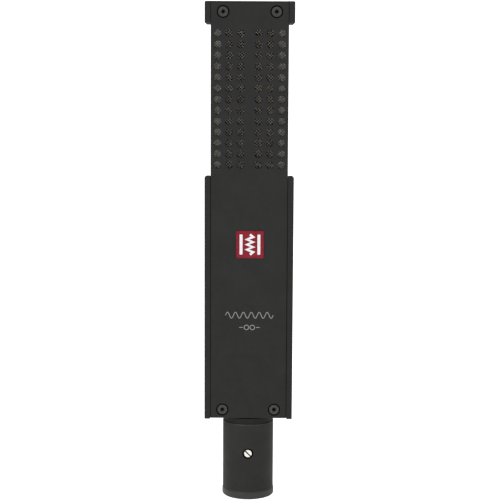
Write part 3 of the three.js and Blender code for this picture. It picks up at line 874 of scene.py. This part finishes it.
def cover_screw_cutters(level, half_depth):
    """Blind holes for the cover screws of both faces, in one block."""
    cutters = []
    for node in sorted(frame["nodes"]):
        if node.startswith("cover_screw") and level in node:
            place = middle(node)
            turn, face_y = (TO_FRONT, -half_depth) if "front" in node else (TO_BACK, half_depth)
            face = (place.x, face_y, place.z)
            cutters.append(round_cutter(CLEAR_R, face, turn, half_depth - BLIND_HOLE_END_Y))
    return cutters


def frame_screw_cutters(level, depth):
    """Countersunk holes for the screws that hold the side frames to one block."""
    cutters = []
    for name, _ in LEFT_AND_RIGHT:
        node = f"frame_screw_{level}_{name}"
        low, high = span(node)
        turn, z = (TO_ABOVE, high.z + SEAT) if level == "upper" else (TO_BELOW, low.z - SEAT)
        cutters.append(round_cutter(CLEAR_R, (middle(node).x, 0, z), turn, depth, sink=True))
    return cutters


def ear(side, inner, low, high):
    """One ear of the top block: its three outer lower edges are chamfered."""
    out, half, c = high.x, high.y, EAR_CHAMFER
    vertices = []
    for x_out, y, z in ((out - c, half - c, low.z), (out, half, low.z + c), (out, half, high.z)):
        vertices += [(side * inner, -y, z), (side * x_out, -y, z), (side * x_out, y, z), (side * inner, y, z)]
    return mesh_object("ear", (vertices, tube_faces(0, 3, 4)))


def top_block():
    low, high = span("top_block")
    cover_high = span("front_cover")[1]
    web_half_d = -cover_high.y - FIT_GAP
    inner = cover_high.x + SEAT
    web_x = (-inner - EAR_OVERLAP, inner + EAR_OVERLAP)
    web = box_object("top_block_detail", web_x, (-web_half_d, web_half_d), (low.z, high.z))
    joined(web, ear(-1, inner, low, high), ear(1, inner, low, high))
    cut(web, *cover_screw_cutters("upper", web_half_d), *frame_screw_cutters("upper", high.z - low.z + 1))
    make(bevelled(web, BLOCK_EDGE), RAIL_PAINT, ["top_block"], "rail_paint")
    # Painted highlight: the chamfers under the ears are made lighter, where they catch light from below.
    second_look(web, HIGHLIGHT_PAINT, lambda point: abs(point.x) > inner and point.z < low.z + EAR_CHAMFER)


def bottom_block():
    """The bottom block reaches from one rail to the other."""
    low, high = span("bottom_block")
    half_w = high.x + SEAT
    block = box_object("bottom_block_detail", (-half_w, half_w), (low.y, high.y), (low.z, high.z))
    bore = round_cutter(NECK_UPPER_R + FIT_GAP, (0, 0, high.z), TO_ABOVE, high.z - low.z + 1)
    cut(block, bore, *cover_screw_cutters("lower", high.y), *frame_screw_cutters("lower", high.z - low.z + 1))
    make(bevelled(block, BLOCK_EDGE), RAIL_PAINT, ["bottom_block"], "rail_paint")


def bevel_edges(thing, chosen, width, segments):
    """Rounds the edges that chosen(edge) picks."""
    build = bmesh.new()
    build.from_mesh(thing.data)
    edges = [edge for edge in build.edges if chosen(edge)]
    bmesh.ops.bevel(build, geom=edges, offset=width, segments=segments, profile=0.5, affect="EDGES")
    build.to_mesh(thing.data)
    build.free()
    return thing


def rail(side, node, inner, outer, top):
    """A rail, rounded along its outer edges. Its top falls towards the rear."""
    low, high = span(node)
    near = 1e-3
    vertices, faces = box_mesh(sided(side, inner, outer), (low.y, high.y), (low.z, top))
    vertices = [(x, y, z - RAIL_FALL if z == top and y > 0 else z) for x, y, z in vertices]
    thing = mesh_object(node + "_detail", (vertices, faces))

    def top_corner(edge):
        return all(abs(v.co.x) > outer - near and v.co.z > low.z + near for v in edge.verts)

    def face_edge(edge):
        ends = [v.co for v in edge.verts]
        on_face = all(abs(p.y) > high.y - near for p in ends)
        at_bottom = all(p.z < low.z + near for p in ends)
        at_cover = all(abs(p.x) < inner + near for p in ends)
        return on_face and not at_bottom and not at_cover and edge.calc_face_angle(0) > 1

    bevel_edges(thing, top_corner, RAIL_CORNER_R, 8)
    return bevel_edges(thing, face_edge, RAIL_SIDE_R, 4)


def side_frame(side, node):
    """A rail beside the covers, and a post between the blocks, which fills the depth below the cloth."""
    low, high = span(node)
    outer = max(abs(low.x), abs(high.x))
    inner = span("front_cover")[1].x + SEAT
    cloth_bottom = span("front_mesh")[0].z
    rail_top = cloth_bottom - RAIL_BELOW_MESH
    bottom, top = span("bottom_block")[1].z, span("top_block")[0].z
    cover_depth = (span("front_cover")[1].y + SEAT, span("rear_cover")[0].y - SEAT)
    post_x = sided(side, POST_IN_X, POST_OUT_X)
    bridge_x = sided(side, POST_OUT_X - BRIDGE_OVERLAP, inner + BRIDGE_OVERLAP)
    post = box_object("post", post_x, (-POST_HALF_D, POST_HALF_D), (bottom, top))
    foot = box_object("foot", post_x, cover_depth, (bottom, cloth_bottom - SEAT))
    bridge = box_object("bridge", bridge_x, cover_depth, (bottom, rail_top - RAIL_FALL - BRIDGE_DROP))
    thing = joined(rail(side, node, inner, outer, rail_top), joined(post, foot, bridge))
    make(bevelled(thing, 0.15, 2, 50), RAIL_PAINT, [node], "rail_paint")
    second_look(thing, BARE_ALUMINIUM, lambda point: abs(point.x) < POST_OUT_X - 0.2)


# ---- Connector ----


def barrel():
    high = span("barrel")[1]
    rim_r, top = high.x, high.z
    barrel_r = rim_r - RIM_STEP
    path = [
        (SOCKET_R + 1.5, 0), (rim_r, 0), (rim_r, RIM_H - RIM_SLOPE), (barrel_r, RIM_H), (barrel_r, top),
        (BORE_R, top), (BORE_R, SOCKET_DEPTH), (SOCKET_R, SOCKET_DEPTH), (SOCKET_R, LEAD_IN),
        (SOCKET_R + LEAD_IN, 0), (SOCKET_R + 1.5, 0),
    ]
    profile = rounded(path, [0.7, 0.9, 0.9, 0.6, 0.15, 0.1, 0.1, 0.2, 0.15])[:-1]
    shell = mesh_object("barrel_detail", lathe(profile, 128))
    face = (0, -barrel_r - 1, middle("retaining_screw").z)
    window = round_cutter(RETAINER_HOLE_R, face, TO_FRONT, 5)
    make(bevelled(cut(shell, window), 0.14, 3, 50), BARREL_PAINT, ["barrel"], "body_paint")

    def in_painted_highlight(point):
        """The rim's outside and the rounded top edge: a painted highlight, lighter where these faces catch
        the light.
        """
        on_rim = point.z < RIM_H - RIM_SLOPE / 2 and math.hypot(point.x, point.y) > SOCKET_R + 0.6
        return on_rim or point.z > top - 0.5

    # Painted highlight on the rim and the barrel's rounded top edge.
    second_look(shell, HIGHLIGHT_PAINT, in_painted_highlight)


def neck():
    """The collar between body and barrel, nearly flush with the barrel, with a spigot into each."""
    low, high = span("neck")
    collar_z = (span("barrel")[1].z, span("bottom_block")[0].z)
    collar_r, spigot_r = high.x, BORE_R - FIT_GAP
    path = [
        (NECK_BORE_R + 1, low.z), (spigot_r, low.z), (spigot_r, collar_z[0]), (collar_r, collar_z[0]),
        (collar_r, collar_z[1]), (NECK_UPPER_R, collar_z[1]), (NECK_UPPER_R, high.z), (NECK_BORE_R, high.z),
        (NECK_BORE_R, low.z), (NECK_BORE_R + 1, low.z),
    ]
    shape = lathe(rounded(path, [0.3, 0.05, 0.1, 0.25, 0.05, 0.3, 0.2, 0.2])[:-1], 128)
    # Painted shade: the collar gets darker paint for the shadow under the body.
    make(mesh_object("neck_detail", shape), NECK_SHADE_PAINT, ["neck"], "body_paint")


def insert():
    """The connector's moulded body, with a raised boss round each pin and a groove inside its edge."""
    low, high = span("connector_insert")
    radius = high.x
    inner, outer = INSERT_GROOVE_R
    bottom = low.z + INSERT_GROOVE_DEPTH
    path = [
        (0, low.z), (inner, low.z), (inner + 0.1, bottom), (outer - 0.1, bottom), (outer, low.z),
        (radius, low.z), (radius, high.z), (0, high.z),
    ]
    profile = rounded(path, [0.08, 0.08, 0.08, 0.08, 0.3, 0.3], 3)
    body = mesh_object("connector_insert_detail", lathe(profile, 96))
    cutters = []
    for number in (1, 2, 3):
        place = middle(f"pin_{number}")
        boss = lathe(rounded([(0, -0.35), (BOSS_R, -0.35), (BOSS_R, 0.5), (0, 0.5)], 0.1), 32)
        joined(body, mesh_object("boss", boss, Matrix.Translation((place.x, place.y, low.z))))
        top = (place.x, place.y, high.z)
        cutters.append(round_cutter(PIN_HOLE_R, top, TO_ABOVE, high.z - low.z + 1))
    screw_end_y = span("retaining_screw")[1].y + FIT_GAP
    side = (0, -radius, middle("retaining_screw").z)
    cutters.append(round_cutter(RETAINER_R + 0.35, side, TO_FRONT, radius + screw_end_y))
    cut(body, *cutters)
    make(body, BLACK_PLASTIC, ["connector_insert"], "black_plastic")


def pins():
    for number in (1, 2, 3):
        node = f"pin_{number}"
        low, high = span(node)
        place = middle(node)
        radius = (high.x - low.x) / 2
        shoulder = span("connector_insert")[1].z
        path = [
            (0, low.z), (radius, low.z), (radius, shoulder), (PIN_TAIL_R, shoulder), (PIN_TAIL_R, high.z),
            (0, high.z),
        ]
        profile = rounded(path, [0.85, 0.1, 0.1, 0.15], 6)
        pin = add_turning_radius(mesh_object(node + "_detail", lathe(profile, 40)))
        pin.data.transform(Matrix.Translation((place.x, place.y, 0)))
        make(pin, PIN_SILVER, [node], "pin_silver")


def retaining_screw():
    low, high = span("retaining_screw")
    length = high.y - low.y
    neck_r = RETAINER_R - 0.3
    path = [
        (0, -length), (neck_r, -length), (neck_r, -RETAINER_HEAD_H), (RETAINER_R, -RETAINER_HEAD_H),
        (RETAINER_R, -0.4), (RETAINER_R - RETAINER_EDGE, -0.08), (RETAINER_R * 0.5, -0.02), (0, 0),
    ]
    screw = mesh_object("retaining_screw_detail", lathe(rounded(path, [0.2, 0.1, 0.1, 0.12, 0.08, 2], 5), 64))
    slot = box_object("slot", (-3, 3), (-SLOT_W / 2, SLOT_W / 2), (-SLOT_DEPTH, 1))
    add_turning_radius(bevelled(cut(screw, slot), 0.05, 2, 50))
    face = (0, low.y, middle("retaining_screw").z)
    home = Matrix.Translation(face) @ TO_FRONT @ turned(SLOT_TURN, "Z")
    screw.data.transform(home)
    make(screw, RETAINER_STEEL, ["retaining_screw"], "retainer_steel", SCREW_BODY)

    def in_slot(point):
        inside = home.inverted() @ point
        return abs(inside.y) < SLOT_W / 2 + NEAR and -SLOT_DEPTH - NEAR < inside.z < -0.2

    # Painted shade in the slot's walls and floor.
    second_look(screw, SLOT_PAINTED_SHADE, in_slot)


# ---- Badge and printed marks ----


def mark(name, look, outline, wall, face_y, openings=()):
    """A thin flat piece: a mark on a face, or a pad."""
    make(mesh_object(name, panel(outline, wall, openings, face_y)), look)


def badge():
    low, high = span("badge")
    outline = rectangle(low.x, high.x, low.z, high.z, BADGE_CORNER_R, 8)
    plate = panel(outline, edge_wall(high.y - low.y, BADGE_FILLET), (), low.y)
    make(mesh_object("badge_plate", plate), ENAMEL_RED, ["badge"], "badge_enamel")
    face = low.y - INK_T
    wall = edge_wall(INK_T * 2, INK_T * 0.6, 2)
    centre = middle("badge")
    for name, side in LEFT_AND_RIGHT:
        x = centre.x + side * (EMBLEM_W - STROKE) / 2
        bar = rectangle(x - STROKE / 2, x + STROKE / 2, centre.z - EMBLEM_H / 2, centre.z + EMBLEM_H / 2, 0.3)
        mark(f"emblem_bar_{name}", EMBLEM_WHITE, bar, wall, face)
    stops = FOLDS * 2
    swing = [0, *(FOLD_W / 2 * (-1) ** i for i in range(stops - 1)), 0]
    strip = [(centre.x + x, centre.z + EMBLEM_H * (i / stops - 0.5)) for i, x in enumerate(swing)]
    mark("emblem_strip", EMBLEM_WHITE, stroke(strip, STROKE * 0.8), wall, face)


def printed_marks():
    """A wave line, and below it the two lobes of the pickup pattern between two dashes."""
    face = span("front_cover")[0].y - INK_T
    wall = edge_wall(INK_T, INK_T * 0.3, 1)
    x0, z0 = WAVE_CENTRE
    stops = WAVE_CYCLES * 24
    phases = [i / stops for i in range(stops + 1)]
    turn = 2 * math.pi * WAVE_CYCLES
    wave = [(x0 + WAVE_W * (t - 0.5), z0 + WAVE_H / 2 * math.sin(turn * t)) for t in phases]
    mark("printed_wave", INK_GREY, stroke(wave, INK_STROKE), wall, face)
    x0, z0 = PATTERN_CENTRE
    for name, side in LEFT_AND_RIGHT:
        x = x0 + side * (LOBE_R + 0.1)
        opening = (circle(x, z0, LOBE_R - INK_STROKE, 40), negated(wall))
        mark(f"printed_lobe_{name}", INK_GREY, circle(x, z0, LOBE_R, 40), wall, face, [opening])
        near, far = sorted(x0 + side * x for x in DASH_X)
        dash = rectangle(near, far, z0 - INK_STROKE / 2, z0 + INK_STROKE / 2, 0.1)
        mark(f"printed_dash_{name}", INK_GREY, dash, wall, face)


# ---- Ribbon motor ----


def magnetic_circuit():
    """Yoke, magnets and poles. They touch, held by the magnets' own pull."""
    low, high = span("yoke")
    inner_x = high.x - YOKE_SIDE
    bars = (low.z + YOKE_BAR, high.z - YOKE_BAR)
    yoke = box_object("yoke_detail", *zip(low, high))
    window = box_object("window", (-inner_x, inner_x), (low.y - 1, high.y + 1), bars)
    make(bevelled(cut(yoke, window), 0.3), SOFT_IRON, ["yoke"], "soft_iron")
    ends = (span("clamp_base_lower")[1].z, span("clamp_base_upper")[0].z)
    for name, side in LEFT_AND_RIGHT:
        pole = span(f"pole_{name}")
        pole_out = max(abs(pole[0].x), abs(pole[1].x))
        magnet = span(f"magnet_{name}")
        magnet_x = sided(side, pole_out, inner_x)
        thing = box_object(f"magnet_{name}_detail", magnet_x, (magnet[0].y, magnet[1].y), ends)
        make(bevelled(thing, 0.35), MAGNET_BLACK, [f"magnet_{name}"], "magnet")
        x, y, _ = zip(*pole)
        thing = box_object(f"pole_{name}_detail", x, y, ends)
        make(bevelled(thing, 0.3), SOFT_IRON, [f"pole_{name}"], "soft_iron")


def ribbon():
    """Thin foil in even waves along its whole free length."""
    low, high = span("ribbon")
    swing = high.y - RIBBON_T
    stops = RIBBON_WAVES * 12
    vertices = []
    for stop in range(stops + 1):
        z = low.z + (high.z - low.z) * stop / stops
        y = swing * math.sin(2 * math.pi * RIBBON_WAVES * stop / stops)
        front, back = y - RIBBON_T / 2, y + RIBBON_T / 2
        vertices += [(low.x, front, z), (high.x, front, z), (high.x, back, z), (low.x, back, z)]
    foil = mesh_object("ribbon_foil", (vertices, tube_faces(0, stops + 1, 4)))
    make(foil, FOIL, ["ribbon"], "ribbon_foil", RIBBON_BODY, sharp=80)


def clamps():
    """What holds the ribbon's ends: a brass bar screwed to an insulating base that fills the yoke's width."""
    yoke_low, yoke_high = span("yoke")
    half_w = yoke_high.x - YOKE_SIDE
    outer_z = {"lower": yoke_low.z + YOKE_BAR, "upper": yoke_high.z - YOKE_BAR}
    for level in LEVELS:
        bar, base, tab = span(f"clamp_bar_{level}"), span(f"clamp_base_{level}"), span(f"ribbon_tab_{level}")
        base_z = sorted((outer_z[level], base[1].z if level == "lower" else base[0].z))
        base_ranges = ((-half_w, half_w), (base[0].y, base[1].y), base_z)
        for kind, ranges, look, slot in (
            ("bar", zip(*bar), DARK_BRASS, "clamp_brass"),
            ("base", base_ranges, BLACK_PLASTIC, "black_plastic"),
        ):
            node = f"clamp_{kind}_{level}"
            low, high = span(node)
            holes = []
            for name, _ in LEFT_AND_RIGHT:
                place = middle(f"clamp_screw_{level}_{name}")
                face = (place.x, low.y, place.z)
                holes.append(round_cutter(CLAMP_SHANK_R + 0.1, face, TO_FRONT, high.y - low.y + 1))
            body = cut(box_object(node + "_detail", *ranges), *holes)
            make(bevelled(body, 0.2), look, [node], slot)
        node = f"ribbon_tab_{level}"
        x, _, z = zip(*tab)
        make(box_object(node + "_detail", x, (-RIBBON_T, RIBBON_T), z), FOIL, [node], "ribbon_foil")


def clamp_screws():
    """Cheese-head screws with a slot, in the brass bars."""
    for level in LEVELS:
        for name, _ in LEFT_AND_RIGHT:
            node = f"clamp_screw_{level}_{name}"
            low, high = span(node)
            end = low.y + CLAMP_SCREW_HEAD_H - high.y
            path = [
                (0, end), (CLAMP_SHANK_R, end), (CLAMP_SHANK_R, 0), (CLAMP_SCREW_R, 0),
                (CLAMP_SCREW_R, CLAMP_SCREW_HEAD_H), (0, CLAMP_SCREW_HEAD_H),
            ]
            screw = mesh_object(node + "_detail", lathe(rounded(path, [0.2, 0.05, 0.08, 0.25], 4), 40))
            slot_z = (CLAMP_SCREW_HEAD_H - CLAMP_SLOT_DEPTH, CLAMP_SCREW_HEAD_H + 1)
            slot = box_object("slot", (-2, 2), (-CLAMP_SLOT_W / 2, CLAMP_SLOT_W / 2), slot_z)
            add_turning_radius(bevelled(cut(screw, slot), 0.04, 2, 50))
            face = (middle(node).x, low.y + CLAMP_SCREW_HEAD_H, middle(node).z)
            screw.data.transform(Matrix.Translation(face) @ TO_FRONT)
            make(screw, DARK_BRASS, [node], "clamp_brass")


def isolators():
    """Rubber pads, held between the yoke and the side frames."""
    yoke_out = span("yoke")[1].x
    for level in LEVELS:
        for name, side in LEFT_AND_RIGHT:
            node = f"isolator_{level}_{name}"
            low, high = span(node)
            x = sided(side, yoke_out, POST_IN_X)
            pad = box_object(node + "_detail", x, (low.y, high.y), (low.z, high.z))
            make(bevelled(pad, 0.4, 4), PAD_RUBBER, [node], "pad_rubber")


# ---- Transformer, terminal board and leads ----


def flat_ring(x, y, z, inner_x, inner_y, corner, fillet):
    """A level slab with a square opening. x and y are its half sizes, inner_x and inner_y the opening's."""
    wall = edge_wall(z[1] - z[0], fillet, 3)
    opening = rectangle(-inner_x, inner_x, -inner_y, inner_y, 0.3)
    slab = panel(rectangle(-x, x, -y, y, corner, 6), wall, [(opening, negated(wall))])
    return slab, Matrix.Translation((0, 0, z[1])) @ TO_BACK


def transformer():
    """A core of thin sheets, a taped coil between two flanges round its middle leg, and a bracket below."""
    low, high = span("transformer_core")
    window_z = (low.z + CORE_YOKE_H, high.z - CORE_YOKE_H)
    pitch = (high.y - low.y) / CORE_SHEETS
    wall = edge_wall(pitch * 0.9, 0.03, 1)
    windows = []
    for side in (-1, 1):
        window = rectangle(*sided(side, CORE_LEG, CORE_WINDOW_X), *window_z, 0.2, 2)
        windows.append((window, negated(wall)))
    outline = rectangle(low.x, high.x, low.z, high.z, 0.3, 2)
    sheets = [panel(outline, wall, windows, low.y + sheet * pitch) for sheet in range(CORE_SHEETS)]
    core = mesh_object("transformer_core_detail", merged(sheets))
    make(core, LAMINATION, ["transformer_core"], "lamination")

    low, high = span("transformer_coil")
    leg = (CORE_LEG + 0.1, span("transformer_core")[1].y + 0.1)
    coil_z = (low.z + FLANGE_T, high.z - FLANGE_T)
    wound = flat_ring(high.x - 0.5, high.y - 0.4, coil_z, *leg, corner=2.4, fillet=0.1)
    make(mesh_object("transformer_coil_detail", *wound), COIL_TAPE, ["transformer_coil"], "coil")
    for name, z in (("lower", (low.z, coil_z[0])), ("upper", (coil_z[1], high.z))):
        flange = flat_ring(high.x, high.y, z, *leg, corner=0.8, fillet=0.2)
        make(mesh_object(f"bobbin_flange_{name}", *flange), BLACK_PLASTIC, slot="black_plastic")

    low, high = span("transformer_bracket")
    bracket = box_object("transformer_bracket_detail", *zip(low, high))
    half_w = high.x - BRACKET_T
    hollow_z = (low.z - 1, high.z - BRACKET_T)
    hollow = box_object("hollow", (-half_w, half_w), (low.y - 1, high.y + 1), hollow_z)
    make(bevelled(cut(bracket, hollow), 0.35), SOFT_IRON, ["transformer_bracket"], "soft_iron")


def terminal_board():
    """A board with a tinned pad round each hole, on both faces."""
    low, high = span("terminal_board")
    thickness = high.y - low.y
    rows = (low.z + BOARD_HOLE_INSET, high.z - BOARD_HOLE_INSET)
    places = [(x, z) for x in BOARD_HOLE_X for z in rows]
    wall = edge_wall(thickness, 0.1, 2)
    openings = [(circle(x, z, BOARD_HOLE_R, 24), negated(wall)) for x, z in places]
    board = panel(rectangle(low.x, high.x, low.z, high.z, 0.6), wall, openings, low.y)
    make(mesh_object("terminal_board_detail", board), BOARD, ["terminal_board"], "board")
    pad_wall = edge_wall(thickness + 2 * PAD_T, 0.04, 2)
    for number, (x, z) in enumerate(places, 1):
        hole = (circle(x, z, BOARD_HOLE_R - 0.1, 24), negated(pad_wall))
        mark(f"solder_pad_{number}", SOLDER, circle(x, z, PAD_R, 32), pad_wall, low.y - PAD_T, [hole])


def smooth_lead(node, look, slot):
    """A lead's own CAD tube, made round and smooth."""
    thing = new_object(node + "_detail", frame["nodes"][node].data.copy())
    thing.data.transform(Matrix.Scale(1 / MM, 4))
    build = bmesh.new()
    build.from_mesh(thing.data)
    bmesh.ops.remove_doubles(build, verts=build.verts, dist=1e-3)
    bmesh.ops.join_triangles(build, faces=build.faces, angle_face_threshold=0.7, angle_shape_threshold=0.7)
    build.to_mesh(thing.data)
    build.free()
    thing.modifiers.new("smooth", "SUBSURF").levels = 2
    make(settle(thing), look, [node], slot, sharp=80)


def leads():
    looks = {"lead_red": LEAD_RED, "lead_white": LEAD_WHITE, "lead_black": LEAD_BLACK}
    for part in frame["record"]["subparts"]:
        if part["material_slot"] in looks:
            smooth_lead(part["node"], looks[part["material_slot"]], part["material_slot"])


camera()
studio()
covers()
cloths()
screws()
top_block()
bottom_block()
for name, side in LEFT_AND_RIGHT:
    side_frame(side, name + "_frame")
barrel()
neck()
insert()
pins()
retaining_screw()
badge()
printed_marks()
magnetic_circuit()
ribbon()
clamps()
clamp_screws()
isolators()
transformer()
terminal_board()
leads()
